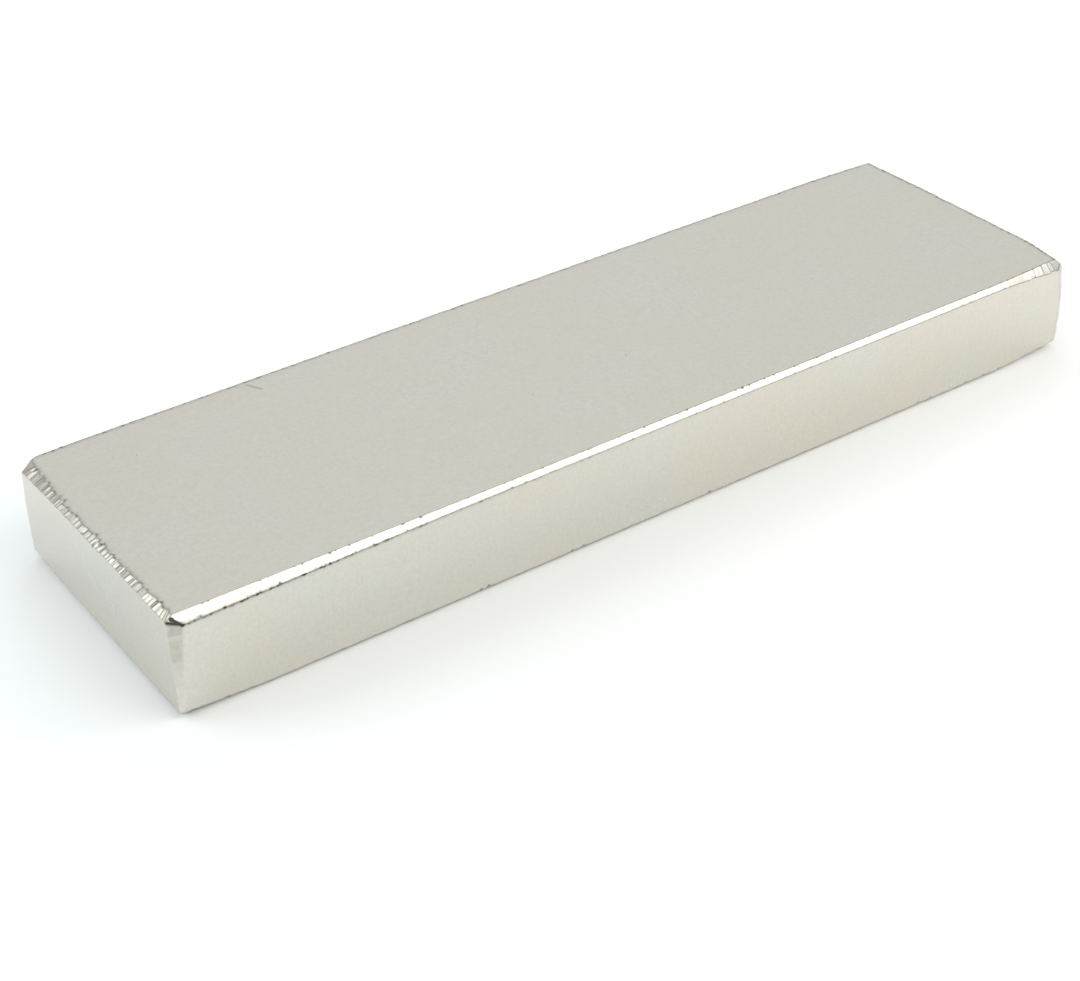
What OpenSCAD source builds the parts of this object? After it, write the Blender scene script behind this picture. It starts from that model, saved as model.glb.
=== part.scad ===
// Block magnet: one sintered, plated block. Its twelve edges were ground back by hand before the
// plating, so no two bevels are alike: each one runs wider towards one end and opens out into the
// corners. X runs along the length, Y across it and Z up through the thickness, and the origin is
// the centre of the face that the block lies on. Sizes are in millimetres.

/* [Block] */
// Length, from the left end to the right end
block_l = 100; // [50:1:160]
// Width, from the front face to the back face
block_w = 30; // [15:1:60]
// Thickness, which is also the way the block is magnetised
block_h = 10; // [5:0.5:25]

/* [Edges of the top face] */
// Each edge: leg at its left or front end, leg at its other end, extra at the first corner, at the second
// Front edge, the one in full view
top_front = [0.4, 0.45, 0.3, 0.35]; // [0.1:0.05:1.5]
// Back edge
top_back = [0.5, 0.6, 0.1, 0.4]; // [0.1:0.05:1.5]
// Left edge
top_left = [0.55, 0.75, 0.3, 0.55]; // [0.1:0.05:1.5]
// Right edge
top_right = [0.45, 0.4, 0.8, 0.25]; // [0.1:0.05:1.5]

// How much the front face loses for each millimetre that the top face loses, along the front edge
lean_top_front = 1.25; // [0.1:0.05:1.5]
// How much the left end loses in the same way along the left edge
lean_top_left = 0.45; // [0.1:0.05:1.5]

/* [Edges of the bottom face] */
// Front edge, given as on the top face
bottom_front = [0.3, 0.35, 0.4, 0.7]; // [0.1:0.05:1.5]
// Back edge
bottom_back = [0.5, 0.5, 0.3, 0.3]; // [0.1:0.05:1.5]
// Left edge
bottom_left = [0.6, 0.8, 0.1, 0.25]; // [0.1:0.05:1.5]
// Right edge
bottom_right = [0.8, 0.5, 0.5, 0.3]; // [0.1:0.05:1.5]

/* [Upright edges] */
// Each edge: leg on the long face at the bottom, at the top, extra at the bottom corner, at the top one
// Front left edge, which fades out downwards
upright_front_left = [0.25, 1.3, 0.1, 0.15]; // [0.1:0.05:2]
// Front right edge, pinched at half height
upright_front_right = [0.6, 0.6, 0.4, 0.7]; // [0.1:0.05:2]
// Back left edge
upright_back_left = [1.9, 1.95, 0.1, 0.9]; // [0.1:0.05:2]
// Back right edge
upright_back_right = [0.8, 0.8, 0.2, 0.3]; // [0.1:0.05:2]
// How much the end face loses for each millimetre that the long face loses, at the front left
lean_front_left = 0.3; // [0.1:0.05:1.5]
// The same at the front right
lean_front_right = 0.65; // [0.1:0.05:1.5]
// The same at the back left
lean_back_left = 0.55; // [0.1:0.05:1.5]
// The same at the back right
lean_back_right = 1; // [0.1:0.05:1.5]

/* [Corners] */
// How far from a corner a level edge opens out
level_run = 8; // [4:0.5:12]
// The same on the top front edge from the left, where it was one long stroke
long_run = 28; // [12:1:40]
// The same on the top right edge from the front, where it was a short one
short_run = 5; // [3:0.5:8]
// How far from a corner an upright edge opens out
upright_run = 4; // [2:0.5:5]

/* [Hidden] */
// The sides that an edge can lie on
front = -1;
back = 1;
left = -1;
right = 1;
bottom = -1;
top = 1;
// A grinding cut this large covers a whole edge from either end of it
reach = 2 * norm([block_l, block_w, block_h]);
// A corner of the block, from the sides that meet there
function corner(x_side, y_side, z_side) =
    [x_side * block_l / 2, y_side * block_w / 2, (z_side + 1) * block_h / 2];

// What one flat pass of the grinder takes off: all that lies outside the plane through three points.
// into points from the edge to the inside of the block.
module pass(a, b, c, into) {
    across = cross(b - a, c - a);
    normal = across * into > 0 ? -across : across;
    translate(a)
        rotate([0, acos(normal.z / norm(normal)), atan2(normal.y, normal.x)])
            translate([-reach / 2, -reach / 2, 0])
                cube(reach);
}

// The three passes of one edge that starts at the corner start and runs along for length. in_a and
// in_b lead from the edge along its two faces, and lean is the leg on the second for each
// millimetre on the first. legs holds the leg at both ends, and what each corner takes besides,
// and runs how far from each corner that goes.
module ground_edge(start, along, length, in_a, in_b, legs, runs, lean) {
    slope = (legs[1] - legs[0]) / length;
    into = in_a + in_b;
    // The long pass, from one end of the edge to the other
    pass(start + legs[0] * in_a,
         start + legs[0] * lean * in_b,
         start + length * along + legs[1] * in_a,
         into);
    // The pass that opens the edge out into its first corner
    wide_start = legs[0] + legs[2];
    pass(start + wide_start * in_a,
         start + wide_start * lean * in_b,
         start + runs[0] * along + (legs[0] + slope * runs[0]) * in_a,
         into);
    // The same at its second corner
    finish = start + length * along;
    wide_finish = legs[1] + legs[3];
    pass(finish + wide_finish * in_a,
         finish + wide_finish * lean * in_b,
         finish - runs[1] * along + (legs[1] - slope * runs[1]) * in_a,
         into);
}

// A level edge of a long face, from left to right
module long_edge(y_side, z_side, legs, first_run = level_run, lean = 1) {
    ground_edge(corner(left, y_side, z_side), [1, 0, 0], block_l,
                [0, -y_side, 0], [0, 0, -z_side], legs, [first_run, level_run], lean);
}

// A level edge of an end face, from front to back
module end_edge(x_side, z_side, legs, first_run = level_run, lean = 1) {
    ground_edge(corner(x_side, front, z_side), [0, 1, 0], block_w,
                [-x_side, 0, 0], [0, 0, -z_side], legs, [first_run, level_run], lean);
}

// An upright edge, from the bottom to the top
module upright_edge(x_side, y_side, legs, lean) {
    ground_edge(corner(x_side, y_side, bottom), [0, 0, 1], block_h,
                [-x_side, 0, 0], [0, -y_side, 0], legs, [upright_run, upright_run], lean);
}

// The whole magnet: the pressed block less what was ground off its edges
module magnet() {
    color([0.80, 0.79, 0.75])
        difference() {
            translate(corner(left, front, bottom))
                cube([block_l, block_w, block_h]);
            long_edge(front, top, top_front, long_run, lean_top_front);
            long_edge(back, top, top_back);
            end_edge(left, top, top_left, lean = lean_top_left);
            end_edge(right, top, top_right, short_run);
            long_edge(front, bottom, bottom_front);
            long_edge(back, bottom, bottom_back);
            end_edge(left, bottom, bottom_left);
            end_edge(right, bottom, bottom_right);
            upright_edge(left, front, upright_front_left, lean_front_left);
            upright_edge(right, front, upright_front_right, lean_front_right);
            upright_edge(left, back, upright_back_left, lean_back_left);
            upright_edge(right, back, upright_back_right, lean_back_right);
        }
}

magnet();
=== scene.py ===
# %% [markdown]
# # A nickel plated block magnet
# The real object is one sintered block with ground faces and hand-ground edges, plated with nickel.
# Its solid comes from the CAD frame. Here the skin of that solid is made again with more detail:
# the facets that the grinder left along the edges, the softened ridges, chips and small pits.
# First the frame is loaded, and its box is kept, because the looks may not change the size.

# %% Load the frame
import math

import bpy
import numpy as np
from mathutils import Matrix, Vector
from mathutils.geometry import delaunay_2d_cdt


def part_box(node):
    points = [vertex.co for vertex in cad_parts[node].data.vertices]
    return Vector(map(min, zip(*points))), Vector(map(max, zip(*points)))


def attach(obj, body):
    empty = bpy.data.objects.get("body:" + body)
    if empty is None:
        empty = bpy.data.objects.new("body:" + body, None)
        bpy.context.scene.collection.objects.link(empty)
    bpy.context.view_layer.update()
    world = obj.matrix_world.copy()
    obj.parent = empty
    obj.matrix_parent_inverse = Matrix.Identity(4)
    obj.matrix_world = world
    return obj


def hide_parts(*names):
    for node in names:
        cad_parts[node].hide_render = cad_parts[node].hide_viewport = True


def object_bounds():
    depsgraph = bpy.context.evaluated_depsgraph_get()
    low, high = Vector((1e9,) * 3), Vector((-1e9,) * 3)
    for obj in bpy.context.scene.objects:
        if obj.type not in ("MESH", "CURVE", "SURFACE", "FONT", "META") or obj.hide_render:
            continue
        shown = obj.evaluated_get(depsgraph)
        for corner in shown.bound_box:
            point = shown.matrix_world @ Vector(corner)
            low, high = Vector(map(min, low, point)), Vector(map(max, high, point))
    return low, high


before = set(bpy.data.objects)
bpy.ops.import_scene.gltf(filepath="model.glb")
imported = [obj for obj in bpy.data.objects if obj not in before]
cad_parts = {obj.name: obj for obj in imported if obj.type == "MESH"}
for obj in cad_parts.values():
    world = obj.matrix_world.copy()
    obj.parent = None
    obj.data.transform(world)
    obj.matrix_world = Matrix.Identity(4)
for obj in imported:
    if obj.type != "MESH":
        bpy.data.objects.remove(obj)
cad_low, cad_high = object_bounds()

MM = 0.001
low, high = (np.array(corner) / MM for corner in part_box("magnet"))
print("block from", low.round(3), "to", high.round(3), "mm")

# %% [markdown]
# The camera comes first, so that every trial render shows the block as the photograph does.
# Its lens and place were worked out from the block's straight edges and known sides. A camera
# looks along its own -Z, so the three columns of its matrix are right, up and back.

# %% Camera
# the photograph's width and the lens's distance from it, in pixels
PHOTO_WIDTH = 1080
FOCAL_PIXELS = 2224.43
# width of the camera's sensor in mm
SENSOR = 36.0
# the camera's place: angles in radians, then lengths in mm
turn, rise, roll = -0.58388, 0.58289, -0.03888
distance, shift_right, shift_up = 214.794, -3.389, -4.559

back = np.array([math.sin(turn) * math.cos(rise), -math.cos(turn) * math.cos(rise), math.sin(rise)])
level = np.cross([0, 0, 1], back)
level /= np.linalg.norm(level)
upright = np.cross(back, level)
right = math.cos(roll) * level + math.sin(roll) * upright
up = math.cos(roll) * upright - math.sin(roll) * level
place = (back * distance + right * shift_right + up * shift_up) * MM

camera = bpy.data.objects.new("camera", bpy.data.cameras.new("camera"))
camera.data.sensor_width = SENSOR
camera.data.lens = FOCAL_PIXELS * SENSOR / PHOTO_WIDTH
camera.data.clip_start = 0.01
camera.data.clip_end = 20
camera.matrix_world = Matrix([[*row, at] for row, at in zip(np.column_stack([right, up, back]), place)]
                             + [[0, 0, 0, 1]])
bpy.context.scene.collection.objects.link(camera)
bpy.context.scene.camera = camera
print("camera at", (place / MM).round(1), "mm with a", round(camera.data.lens, 1), "mm lens")

# %% [markdown]
# The solid's flat faces are all that is needed to describe it: a convex block is what is left
# inside a set of planes. The planes are read back from the frame's triangles. Many triangles lie
# in one plane, so the largest of them speaks for the rest.

# %% The solid as a set of planes
# a triangle under SLIVER square mm tells nothing, and planes alike within the other two are one
SLIVER, SAME_WAY, SAME_PLACE = 1e-4, 0.999995, 0.01
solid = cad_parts["magnet"].data
solid.calc_loop_triangles()
corners = np.empty(len(solid.vertices) * 3, np.float32)
solid.vertices.foreach_get("co", corners)
corners = corners.reshape(-1, 3).astype(float) / MM
triples = np.empty(len(solid.loop_triangles) * 3, np.int32)
solid.loop_triangles.foreach_get("vertices", triples)
first, second, third = corners[triples.reshape(-1, 3)].transpose(1, 0, 2)
square = np.cross(second - first, third - first)
area = np.linalg.norm(square, axis=1)
square, first, area = square[area > SLIVER], first[area > SLIVER], area[area > SLIVER]
normals = square / area[:, None]
offsets = (normals * first).sum(axis=1)

kept = []
for i in np.argsort(-area):
    alike = (normals[i] @ normals[j] > SAME_WAY and abs(offsets[i] - offsets[j]) < SAME_PLACE for j in kept)
    if not any(alike):
        kept.append(i)
normals, offsets = normals[kept], offsets[kept]
outermost = (corners @ normals.T).max(axis=0) - offsets < SAME_PLACE
normals, offsets = normals[outermost], offsets[outermost]
print(len(offsets), "planes bound the block")

# %% [markdown]
# Each plane is either one of the six faces or a pass of the grinder along one of the twelve
# edges. An edge runs along the axis that its normals hardly point to, and the signs of the
# other two parts of the normal say which edge it is.

# %% Name the edges
# edge: the axis that it runs along, and its sides of the block on the other two axes
EDGES = {
    "top_front": (0, -1, 1), "top_back": (0, 1, 1), "bottom_front": (0, -1, -1), "bottom_back": (0, 1, -1),
    "top_left": (1, -1, 1), "top_right": (1, 1, 1), "bottom_left": (1, -1, -1), "bottom_right": (1, 1, -1),
    "front_left": (2, -1, -1), "front_right": (2, 1, -1), "back_left": (2, -1, 1), "back_right": (2, 1, 1),
}
# the long faces and the ends, counter-clockwise: the axis that each runs along, and its side
SIDES = {"front": (0, -1), "right": (1, 1), "back": (0, 1), "left": (1, -1)}
is_face = np.abs(normals).max(axis=1) > SAME_WAY
is_cap = is_face & (np.abs(normals).argmax(axis=1) == 2)
is_wall = is_face & ~is_cap
runs_along = np.abs(normals).argmin(axis=1)
belongs = {}
for name, (axis, *signs) in EDGES.items():
    others = [k for k in range(3) if k != axis]
    belongs[name] = ~is_face & (runs_along == axis) & (np.sign(normals[:, others]) == signs).all(axis=1)
print({name: int(mine.sum()) for name, mine in belongs.items()}, int(is_face.sum()), "faces")

# %% [markdown]
# A hand-held edge is never ground in one smooth stroke. The wheel jumps along it and leaves a row
# of narrow facets, each a little deeper, tipped or twisted against the next. The photograph shows
# them clearly on the left end and near the right corner, and hardly at all between. One table says
# how rough each edge is: all along, and at its two ends, with the run in mm over which that fades.
# Each facet gets a tone too, by which the metal is a little darker or lighter. The last facets at
# the right of the top front edge are given one tone far above the rest: painted shade that darkens the
# bright window they reflect.

# %% The grinder's facets
GRINDING = {
    "top_front": (0.03, 0.0, 2.5, 0.5, 5.0), "top_back": (0.35, 0.3, 4.0, 0.3, 4.0),
    "bottom_front": (0.30, 0.6, 5.0, 0.3, 4.0), "bottom_back": (0.40, 0.3, 4.0, 0.3, 4.0),
    "top_left": (1.00, -0.75, 1.2, -0.7, 3.0), "top_right": (0.60, 0.3, 4.0, 0.2, 4.0),
    "bottom_left": (0.50, 0.2, 4.0, 0.2, 4.0), "bottom_right": (0.60, 0.2, 4.0, 0.2, 4.0),
    "front_left": (0.06, 0.0, 2.0, 0.5, 3.0), "front_right": (0.35, 0.2, 2.0, 0.2, 2.0),
    "back_left": (0.40, 0.2, 2.0, 0.3, 2.0), "back_right": (0.40, 0.2, 2.0, 0.3, 2.0),
}
# widths of the facets in mm, the force at which they are narrowest, and how uneven they are
NARROW, WIDE, FULL_FORCE, UNEVEN = 0.45, 0.90, 0.6, 0.3
# spread of the facets' depths in mm, and of their slopes along the edge and across it
SINK, TIP, TWIST = 0.030, 0.030, 0.020
# the top front facets from this x on, in mm, get this tone, painted shade on the window they reflect. The
# others lie between 0 and 1
SHADED_FROM, SHADED_TONE = 47.4, 2.2


def grind(axis, rough, at_start, start_run, at_end, end_run, seed):
    """One edge's facets. Their width goes from WIDE where the edge is calm to NARROW where it is
    rough, and each gets its own depth, tip along the edge and twist across it, at random."""
    rng = np.random.default_rng(seed)
    table = np.linspace(low[axis], high[axis], 4001)
    force = rough + at_start * np.exp((low[axis] - table) / start_run)
    force += at_end * np.exp((table - high[axis]) / end_run)
    width = WIDE + (NARROW - WIDE) * np.clip(force / FULL_FORCE, 0, 1)
    counted = np.concatenate([[0], np.cumsum(np.diff(table) / width[1:])])
    steps = np.arange(1, int(counted[-1]))
    borders = np.interp(steps + rng.uniform(-UNEVEN, UNEVEN, len(steps)), counted, table)
    borders = np.concatenate([[low[axis] - 1], borders, [high[axis] + 1]])
    facets = len(borders) - 1
    return {"table": table, "force": force, "borders": borders, "sink": SINK * rng.normal(size=facets),
            "tip": TIP * rng.normal(size=facets), "twist": TWIST * rng.normal(size=facets),
            "tone": rng.uniform(0, 1, facets)}


cuts = {name: grind(EDGES[name][0], *rough, seed=40 + i) for i, (name, rough) in enumerate(GRINDING.items())}
# painted shade: the last top front facets are darkened where they reflect the bright window
cuts["top_front"]["tone"][cuts["top_front"]["borders"][:-1] > SHADED_FROM] = SHADED_TONE
print({name: len(cut["sink"]) for name, cut in cuts.items()}, "facets")

# %% [markdown]
# Two questions are asked about a cut at many points at once: how deep it is there, and how near
# the border between two facets is. Both look up the facet with a sorted search.

# %% Depth of a cut, and its borders


def facet_at(cut, along):
    """Number of the facet at each place along the edge, and the place of that facet's middle."""
    which = np.clip(np.searchsorted(cut["borders"], along) - 1, 0, len(cut["sink"]) - 1)
    return which, (cut["borders"][which] + cut["borders"][which + 1]) / 2


def bite(cut, along, across):
    """Depth = force x (the facet's sink + tip x distance from its middle + twist x distance across)."""
    which, middle = facet_at(cut, along)
    force = np.interp(along, cut["table"], cut["force"])
    return force * (cut["sink"][which] + cut["tip"][which] * (along - middle) + cut["twist"][which] * across)


def border_line(cut, along, half=0.055):
    """A bell of the distance to the nearest border between facets, times the grinder's force."""
    right_one = np.clip(np.searchsorted(cut["borders"], along), 1, len(cut["borders"]) - 1)
    gap = np.minimum(cut["borders"][right_one] - along, along - cut["borders"][right_one - 1])
    return np.exp(-(gap / half) ** 2) * np.interp(along, cut["table"], cut["force"])


print("deepest facet", round(max(abs(cut["sink"]).max() for cut in cuts.values()), 3), "mm")

# %% [markdown]
# The skin is found by rays. A ray starts on a spine inside the block and goes outwards, and the
# nearest plane that it meets is the skin. A hard minimum would make knife-sharp ridges. Plating
# rounds them, so the minimum is a soft one: minus the logarithm of a sum of exponentials, which
# differs from the hard one only within about a tenth of a millimetre of a ridge. The same
# distances tell which plane a point belongs to, and from that come the marks for the finish and
# the masks for painted shade, such as the dark lines along the ridges.

# %% Rays from the spine to the skin
# sharpness of the skin's ridges per mm, and of the thin, wider and broad lines along them
SHARP = 75.0
THIN, WIDER, BROAD = 52, 28, 14
# how far the spine lies inside the faces, in mm, and how far from an edge its facets twist
SPINE, TWISTED = 2.8, 0.6
# a plane that a ray meets at less than GRAZING lies as good as FAR away
GRAZING, FAR = 1e-3, 99.0
CORNERS = ["front_left", "front_right", "back_right", "back_left"]
WORN_CORNER = np.array([low[0], low[1], high[2]])
# what the worn corner adds to a mark: how much right at the corner, and in mm how far it reaches
CAP_LINE, LEFT_LINE, SEAM, GROOVE = (-0.75, 30), (0.8, 14), (1.0, 5), (0.8, 18)
WALL_LINE, LONG_WALL_LINE = (1.5, 16), (0.5, 60)
# what is left of a seam and of a groove far from it, and of a groove on an upright edge
SEAM_LEFT, GROOVE_LEFT, UPRIGHT_GROOVE = 0.3, 0.2, 0.6
# the top front line of painted shade grows darker by this much, from this x on and over this run, in mm
DARKER, DARKER_FROM, DARKER_RUN = 0.55, 34, 8
# how many times as strong the ground finish is on the upright bevels in view; the extra darkness is painted
# shade
STRONGER = {"front_left": 2.1, "front_right": 1.8}
# edge: sharpness of its dark lines of painted shade, strength on the top or bottom face, strength on the
# walls
LINES = {"top_front": (THIN, 0.64, 0.25), "top_back": (BROAD, 0.75, 0.3), "top_left": (WIDER, 0.50, 0.0),
         "top_right": (BROAD, 0.75, 0.3), "bottom_front": (THIN, 0.4, 0.4), "bottom_back": (THIN, 0.4, 0.4),
         "bottom_left": (THIN, 0.4, 0.4), "bottom_right": (THIN, 0.4, 0.4), "front_right": (WIDER, 0, 0.12),
         "back_left": (THIN, 0, 0.3), "back_right": (THIN, 0, 0.3)}


def meet(origin, way, depth):
    """Distance along each ray to each plane: (offset - depth - normal.origin) / (normal.way)."""
    facing = way @ normals.T
    room = offsets - depth - origin @ normals.T
    return np.where(facing > GRAZING, room / np.maximum(facing, GRAZING), FAR)


def bites(hit, foot):
    """How deep every plane is cut at each point. Level edges are read at the column's foot, so that
    a facet's border follows a column of the mesh, and upright ones at the height of the point."""
    depth = np.zeros((len(hit), len(offsets)))
    for name, mine in belongs.items():
        axis, *signs = EDGES[name]
        others = [k for k in range(3) if k != axis]
        walls = [(high[k] - hit[:, k]) if s > 0 else (hit[:, k] - low[k]) for k, s in zip(others, signs)]
        across = np.clip((walls[0] - walls[1]) / math.sqrt(2), -TWISTED, TWISTED)
        along = hit[:, 2] if axis == 2 else foot[:, axis]
        depth[:, mine] = bite(cuts[name], along, across)[:, None]
    return depth


def skin(origin, guide, foot):
    """Points where rays from origin towards guide leave the block, and the marks read there."""
    way = guide - origin
    way /= np.linalg.norm(way, axis=1)[:, None]
    plain = origin + way * meet(origin, way, 0).min(axis=1)[:, None]
    met = meet(origin, way, bites(plain, foot))
    nearest = met.min(axis=1)
    weight = np.exp(-SHARP * (met - nearest[:, None]))
    point = origin + way * (nearest - np.log(weight.sum(axis=1)) / SHARP)[:, None]
    return point, way, marks_at(point, foot, met - nearest[:, None])


def shares(behind, sharp):
    """How far each point belongs to each plane: exp(-sharp x distance behind the nearest plane),
    over the sum for all planes. Returned for the caps, for the walls and for each edge's passes."""
    share = np.exp(-sharp * behind)
    share /= share.sum(axis=1)[:, None]
    return (share[:, is_cap].sum(axis=1), share[:, is_wall].sum(axis=1),
            {name: share[:, mine].sum(axis=1) for name, mine in belongs.items()})


def wear(gap, effect):
    """What the worn corner adds at a distance gap from it: strength x exp(-gap / reach)."""
    strength, reach = effect
    return strength * np.exp(-gap / reach)


def marks_at(point, foot, behind):
    """Masks for the finish and for painted shade. Where two shares meet, 4 x one x the other is a line
    along their ridge: ridge for the painted shade lines of the table, seam where a corner's bevels meet.
    ground is the bevels' part, made stronger as painted shade on the upright bevels in view and fading down
    the front left edge, groove the painted shade on their facets' borders, and tone a number for each."""
    soft = {sharp: shares(behind, sharp) for sharp in (THIN, WIDER, BROAD)}
    gap = np.linalg.norm(point - WORN_CORNER, axis=1)
    darker = DARKER * np.clip((point[:, 0] - DARKER_FROM) / DARKER_RUN, 0, 1)
    # painted shade: dark lines along the ridges stand in for the dark room that their rounding reflects
    ridge = 0
    for name, (sharp, on_cap, on_wall) in LINES.items():
        cap, wall, of_edge = soft[sharp]
        if name == "top_front":
            on_cap = on_cap * (1 + wear(gap, CAP_LINE) + darker)
        ridge = np.maximum(ridge, 4 * of_edge[name] * (cap * on_cap + wall * on_wall))
    cap, wall, of_edge = soft[WIDER]
    # painted shade: the dark lines along the top front and top left ridges are made stronger near the worn
    # corner
    corner_shade = 4 * of_edge["top_front"] * wall * (wear(gap, WALL_LINE) + wear(gap, LONG_WALL_LINE))
    corner_shade = np.maximum(corner_shade, 4 * of_edge["top_left"] * cap * wear(gap, LEFT_LINE))
    cap, wall, of_edge = soft[BROAD]
    uprights = sum(of_edge[name] for name in CORNERS)
    seam = 4 * uprights * (1 - uprights - cap - wall) * (SEAM_LEFT + wear(gap, SEAM))
    # painted shade: on the upright bevels in view the ground mark is made stronger, and it fades out down
    # the front left edge
    upwards = np.clip((point[:, 2] - 1) / 9, 0, 1)
    line, tone, ground = 0, 0, 0
    for name, part in soft[THIN][2].items():
        axis = EDGES[name][0]
        along = point[:, 2] if axis == 2 else foot[:, axis]
        # painted shade along the borders between facets
        line = line + part * border_line(cuts[name], along) * (UPRIGHT_GROOVE if axis == 2 else 1)
        tone = tone + part * cuts[name]["tone"][facet_at(cuts[name], along)[0]]
        ground = ground + part * STRONGER.get(name, 1) * (upwards if name == "front_left" else 1)
    return {"ground": ground, "ridge": np.clip(np.maximum(ridge, corner_shade), 0, 1), "seam": np.clip(seam, 0, 1),
            "tone": tone, "groove": np.clip(line, 0, 1) * (GROOVE_LEFT + wear(gap, GROOVE))}


print("spine", SPINE, "mm inside the faces; ridges soften over about", round(6 / SHARP, 2), "mm")

# %% [markdown]
# The four upright edges are strips of columns. At each height the strip's feet are laid out from
# the two ridges where the bevel meets its walls: close together at a ridge, where the skin turns,
# and wider between. Where a ridge lies follows from the planes: it is the deepest of their cuts.

# %% Feet of the columns round an upright edge
# places on the wall beside a ridge in mm, and on the bevel: in mm, but at most these shares of
# its width, and the shares between
BESIDE = np.array([0.40, 0.20, 0.08, 0.03, 0.0])
NEAR, NEAR_SHARE, BETWEEN = (0.03, 0.09), (0.12, 0.24), np.linspace(0.22, 0.78, 7)
# nearer to the top and bottom than this, in mm, the level edges meet the upright ones
CLEAR = 1.7
UPRIGHT_LOW, UPRIGHT_HIGH = low[2] + CLEAR, high[2] - CLEAR


def across_bevel(width, near, near_share, between):
    """Shares of the way over a bevel: the smaller of near / width and near_share from either
    ridge, with the shares between in the middle."""
    close = np.minimum(np.array(near)[:, None], width * np.array(near_share)[:, None]) / width
    middle = np.broadcast_to(np.array(between)[:, None], (len(width), len(between), 1))
    return np.concatenate([close, middle, 1 - close[:, ::-1]], axis=1)


def ridge_on(name, wall_axis, height):
    """Place along the wall where the bevel's passes cut it at this height, the deepest of them."""
    sign = dict(zip((0, 1), EDGES[name][1:]))
    along_axis = 1 - wall_axis
    wall = high[wall_axis] if sign[wall_axis] > 0 else low[wall_axis]
    n, d = normals[belongs[name]], offsets[belongs[name]]
    cut = (d - n[:, wall_axis] * wall - n[:, 2] * height[:, None]) / n[:, along_axis]
    return sign[along_axis] * (sign[along_axis] * cut).min(axis=1), wall


def corner_feet(name, height):
    """Feet (heights, columns, 2) from one wall over the bevel to the next, counter-clockwise."""
    height = np.clip(height, UPRIGHT_LOW, UPRIGHT_HIGH)
    x_ridge, y_wall = ridge_on(name, 1, height)
    y_ridge, x_wall = ridge_on(name, 0, height)
    on_long = np.column_stack([x_ridge, np.full_like(x_ridge, y_wall)])[:, None]
    on_end = np.column_stack([np.full_like(y_ridge, x_wall), y_ridge])[:, None]
    into_long = np.array([-math.copysign(1, x_wall), 0])
    into_end = np.array([0, -math.copysign(1, y_wall)])
    width = np.linalg.norm(on_end - on_long, axis=2)[..., None]
    on_bevel = on_long + across_bevel(width, NEAR, NEAR_SHARE, BETWEEN) * (on_end - on_long)
    strip = np.concatenate([on_long + BESIDE[:, None] * into_long, on_bevel,
                            on_end + BESIDE[::-1, None] * into_end], axis=1)
    return strip if name in ("front_right", "back_left") else strip[:, ::-1]


for name in CORNERS:
    feet = corner_feet(name, np.array([0.0, 10.0]))
    print(name, "feet at the top from", feet[1, 0].round(2), "to", feet[1, -1].round(2))

# %% [markdown]
# Chips and nicks sit on the ridges of the bevels, where the brittle core broke under the plating.
# The ones that the photograph shows are listed, and the rest are placed at random. Each has its
# place along the edge, a 1 for the ridge on the top or bottom face, and a radius. The worn corner
# has a shallow dent of its own.

# %% Chips along the ridges
CHIPS = {"top_front": [
    (-46.0, 1, 0.10), (-37.4, 1, 0.11), (-34.8, 1, 0.14), (-27.8, 1, 0.13), (-26.0, 1, 0.16),
    (-13.5, 1, 0.11), (-8.6, 1, 0.10), (-2.5, 1, 0.13), (2.3, 1, 0.14), (8.7, 1, 0.17),
    (9.5, 1, 0.14), (11.3, 1, 0.13), (12.4, 1, 0.12), (14.9, 1, 0.11), (17.6, 1, 0.10),
    (-39.8, 0, 0.12), (-30.9, 0, 0.09), (-17.0, 0, 0.10), (6.2, 0, 0.10), (19.5, 0, 0.10)]}
# depths as a share of the radius
CHIP_DEPTH, CORNER_DEPTH = 0.55, 0.2
CORNER_MIDDLE, CORNER_RADIUS = np.array([-49.41, -14.53, 9.72]), 0.22


def scatter(seed, reach, amount, smallest, largest):
    """Chips at random places up to reach on both sides of an edge's middle."""
    rng = np.random.default_rng(seed)
    return list(zip(rng.uniform(-reach, reach, amount), rng.integers(0, 2, amount),
                    rng.uniform(smallest, largest, amount)))


CHIPS["top_front"] += scatter(88, 47, 70, 0.05, 0.09)
for i, name in enumerate(n for n in EDGES if n not in CHIPS and EDGES[n][0] != 2):
    half_length = high[EDGES[name][0]]
    CHIPS[name] = scatter(90 + i, half_length - 2, int(2 * half_length / 5), 0.10, 0.24)
print(sum(len(chips) for chips in CHIPS.values()), "chips")

# %% [markdown]
# The level edges are closed loops round the top and the bottom. A loop's columns come up the
# wall, over the bevel and onto the cap. Their feet stand where the facets change, two on each side
# of a border, so that a facet stays flat between them, and a few more stand round each chip.

# %% Feet of the columns along a level edge
# steps from a border of facets in mm, shrunk where a facet is narrower than ROOMY
STEPS, ROOMY = np.array([-0.13, -0.04, 0.04, 0.13]), 0.4
# how close a column comes to a corner's strip and to the next column, in mm
TO_STRIP, TO_NEXT = 0.1, 0.012


def thinned(places, spacing):
    """Sorted places without those that follow another one more closely than the spacing."""
    return places[np.concatenate([[True], np.diff(places) > spacing])]


def side_feet(name, start, end):
    """Sorted places along the edge: four at each border of facets and five round each chip."""
    cut, axis = cuts[name], EDGES[name][0]
    borders = cut["borders"][1:-1]
    room = np.minimum(np.diff(cut["borders"])[:-1], np.diff(cut["borders"])[1:])
    at_borders = borders[:, None] + STEPS * np.minimum(1, room[:, None] / ROOMY)
    at_chips = [place + radius * k for place, _, radius in CHIPS[name] for k in (-1, -0.5, 0, 0.5, 1)]
    places = np.sort(np.concatenate([at_borders.ravel(), at_chips]))
    first_one, last_one = min(start, end) + TO_STRIP, max(start, end) - TO_STRIP
    places = thinned(places[(places > first_one) & (places < last_one)], TO_NEXT)
    return places if start < end else places[::-1]


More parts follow.
